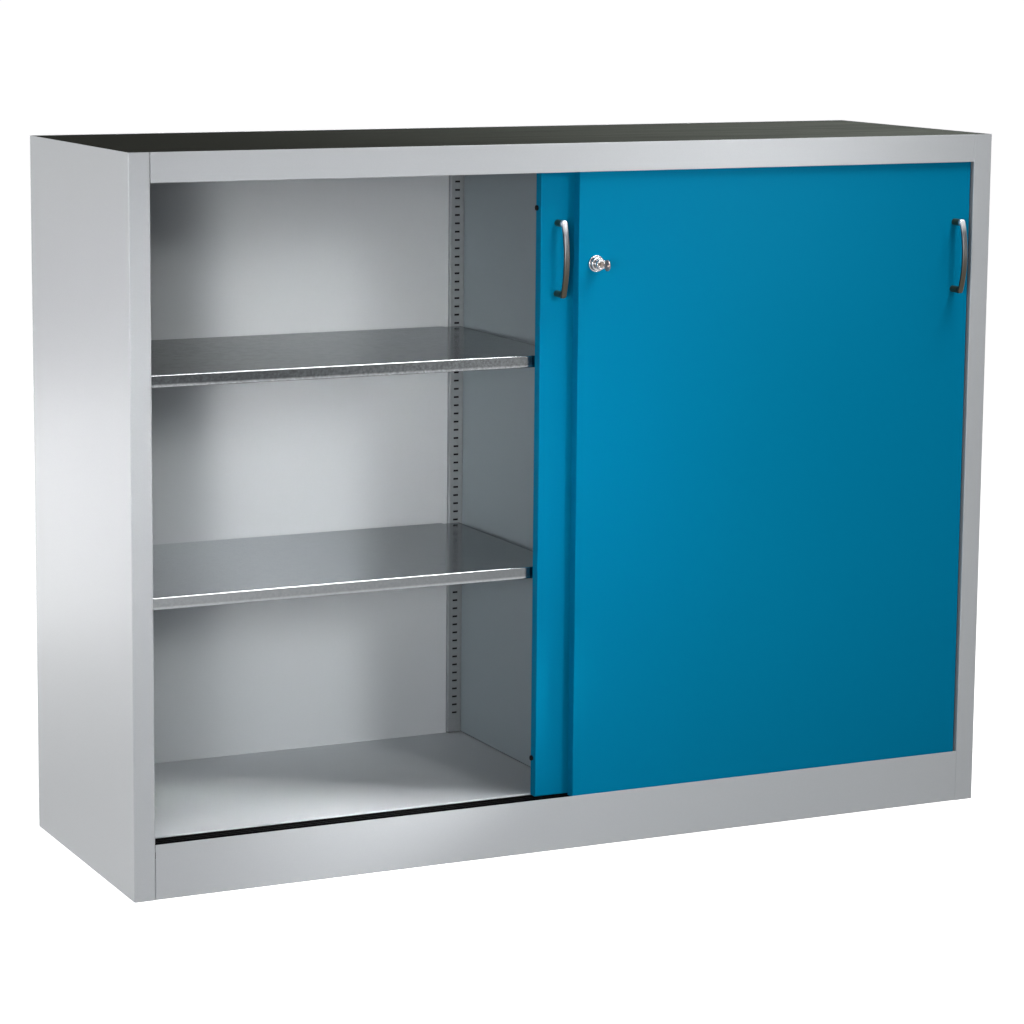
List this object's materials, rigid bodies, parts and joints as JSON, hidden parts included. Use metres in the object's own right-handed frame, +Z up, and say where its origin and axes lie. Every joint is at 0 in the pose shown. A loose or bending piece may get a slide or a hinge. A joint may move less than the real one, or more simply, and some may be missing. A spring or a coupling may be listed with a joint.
{
  "type": "sliding door cabinet",
  "caption": "Wide sheet metal cabinet with overlapping blue sliding doors, a push lock, bow handles, a partition, height-adjustable shelves and a ribbed top mat.",
  "frame": {"origin": "on the floor under the middle of the body, on the underside of the centre runner", "axes": "+X to the right along the front, +Y from the front to the back, +Z up"},
  "size_m": [1.6, 0.546, 1.2],
  "materials": {
    "body_paint": "satin metallic light grey powder coat",
    "interior_paint": "satin metallic light grey powder coat",
    "door_paint": "satin blue powder coat",
    "mat_rubber": "fine ribbed",
    "strip_steel": "galvanised",
    "shelf_steel": "galvanised, glossy",
    "zinc_steel": "zinc plated",
    "screw_steel": "zinc plated",
    "guide_plastic": "matt black",
    "roller_plastic": "natural white",
    "buffer_rubber": "matt black",
    "handle_metal": "satin nickel look",
    "lock_chrome": "polished",
    "core_nickel": "satin nickel",
    "key_nickel": "nickel plated"
  },
  "bodies": {
    "cabinet": {"side_panel_left": "body_paint", "side_panel_right": "body_paint", "side_liner_left": "interior_paint", "side_liner_right": "interior_paint", "top_panel": "body_paint", "top_mat": "mat_rubber", "back_panel": "interior_paint", "floor_panel": "interior_paint", "plinth": "body_paint", "centre_runner": "interior_paint", "partition": "interior_paint", "slotted_strip_far_left": "strip_steel", "slotted_strip_mid_left": "strip_steel", "slotted_strip_mid_right": "strip_steel", "slotted_strip_far_right": "strip_steel", "shelf_lower_left": "shelf_steel", "shelf_upper_left": "shelf_steel", "shelf_lower_right": "shelf_steel", "shelf_upper_right": "shelf_steel", "shelf_clips_left": "zinc_steel", "shelf_clips_right": "zinc_steel", "top_track": "zinc_steel", "track_screws": "screw_steel", "track_stops": "zinc_steel", "bottom_guide": "guide_plastic"},
    "front_door": {"front_door_skin": "door_paint", "front_door_liner": "door_paint", "front_door_stiffeners": "zinc_steel", "front_door_handle": "handle_metal", "front_handle_screws": "screw_steel", "front_door_hangers": "zinc_steel", "front_hanger_screws": "screw_steel", "front_roller_axles": "screw_steel", "front_guide_shoes": "guide_plastic", "front_door_buffers": "buffer_rubber", "lock_housing": "lock_chrome", "lock_nut": "screw_steel"},
    "rear_door": {"rear_door_skin": "door_paint", "rear_door_liner": "door_paint", "rear_door_stiffeners": "zinc_steel", "rear_door_handle": "handle_metal", "rear_handle_screws": "screw_steel", "rear_door_hangers": "zinc_steel", "rear_hanger_screws": "screw_steel", "rear_roller_axles": "screw_steel", "rear_guide_shoes": "guide_plastic", "rear_door_buffers": "buffer_rubber", "strike_plate": "zinc_steel"},
    "front_roller_left": {"front_roller_left": "roller_plastic"},
    "front_roller_right": {"front_roller_right": "roller_plastic"},
    "rear_roller_left": {"rear_roller_left": "roller_plastic"},
    "rear_roller_right": {"rear_roller_right": "roller_plastic"},
    "lock_plunger": {"lock_plunger": "lock_chrome"},
    "lock_core": {"lock_core": "core_nickel"},
    "key": {"key": "key_nickel"}
  },
  "joints": [
    {"name": "front_door_slide", "type": "slide", "parent": "cabinet", "child": "front_door", "axis": [-1, 0, 0], "range_m": [0, 0.6925]},
    {"name": "rear_door_slide", "type": "slide", "parent": "front_door", "child": "rear_door", "axis": [1, 0, 0], "range_m": [-0.6925, 0]},
    {"name": "front_roller_left_spin", "type": "hinge", "parent": "front_door", "child": "front_roller_left", "pos_m": [0.049, -0.2412, 1.1773], "axis": [0, 1, 0], "continuous": true},
    {"name": "front_roller_right_spin", "type": "hinge", "parent": "front_door", "child": "front_roller_right", "pos_m": [0.7005, -0.2412, 1.1773], "axis": [0, 1, 0], "continuous": true},
    {"name": "rear_roller_left_spin", "type": "hinge", "parent": "rear_door", "child": "rear_roller_left", "pos_m": [-0.008, -0.2132, 1.1773], "axis": [0, 1, 0], "continuous": true},
    {"name": "rear_roller_right_spin", "type": "hinge", "parent": "rear_door", "child": "rear_roller_right", "pos_m": [0.6435, -0.2132, 1.1773], "axis": [0, 1, 0], "continuous": true},
    {"name": "lock_push", "type": "slide", "parent": "front_door", "child": "lock_plunger", "axis": [0, 1, 0], "range_m": [0, 0.009], "stiffness_N_per_m": 400},
    {"name": "key_turn", "type": "hinge", "parent": "lock_plunger", "child": "lock_core", "pos_m": [0.0205, -0.267, 0.999], "axis": [0, 1, 0], "range_deg": [0, 90]},
    {"name": "key_pull", "type": "slide", "parent": "lock_core", "child": "key", "axis": [0, -1, 0], "range_m": [0, 0.03]}
  ],
  "couplings": [
    {"joint": "front_roller_left_spin", "follows": "front_door_slide", "rad_per_m": -83.333},
    {"joint": "front_roller_right_spin", "follows": "front_door_slide", "rad_per_m": -83.333},
    {"joint": "rear_roller_left_spin", "follows": "rear_door_slide", "rad_per_m": 83.333},
    {"joint": "rear_roller_right_spin", "follows": "rear_door_slide", "rad_per_m": 83.333}
  ]
}
